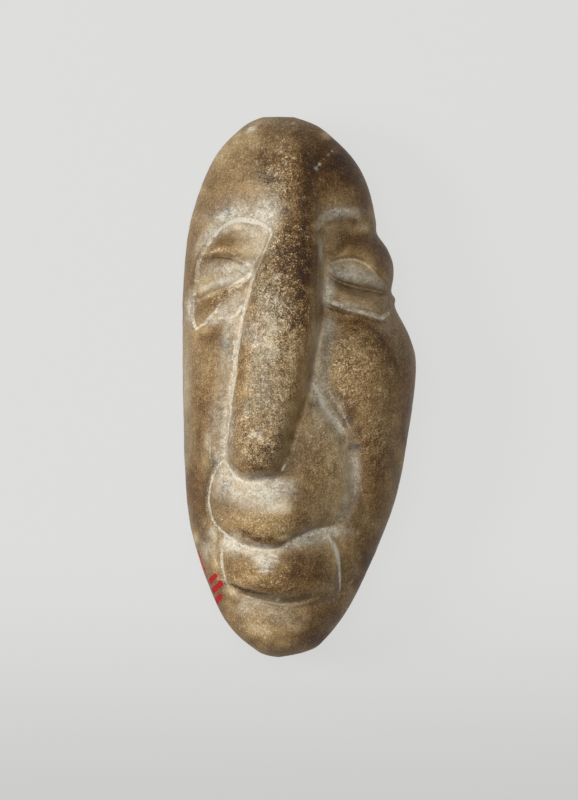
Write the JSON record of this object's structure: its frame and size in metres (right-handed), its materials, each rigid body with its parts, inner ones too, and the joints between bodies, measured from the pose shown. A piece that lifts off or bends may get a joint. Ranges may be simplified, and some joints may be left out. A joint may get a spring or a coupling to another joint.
{
  "type": "miniature mask",
  "caption": "Small stone mask: a long face with a bar-shaped nose, heavy eyelids and thick lips, carved into one side of a pebble. It lies on its flat back.",
  "frame": {"origin": "on the flat back that the mask lies on, below the middle of its length and width", "axes": "+Y to the top of the head, +Z out of the face, +X to the viewer's right"},
  "size_m": [0.0312, 0.072, 0.0222],
  "materials": {
    "stone": "mottled brown stone, rubbed to a satin polish on the high places, with pale grey-white residue in the cuts"
  },
  "bodies": {
    "root": {"stone_mask": "stone"}
  },
  "joints": []
}
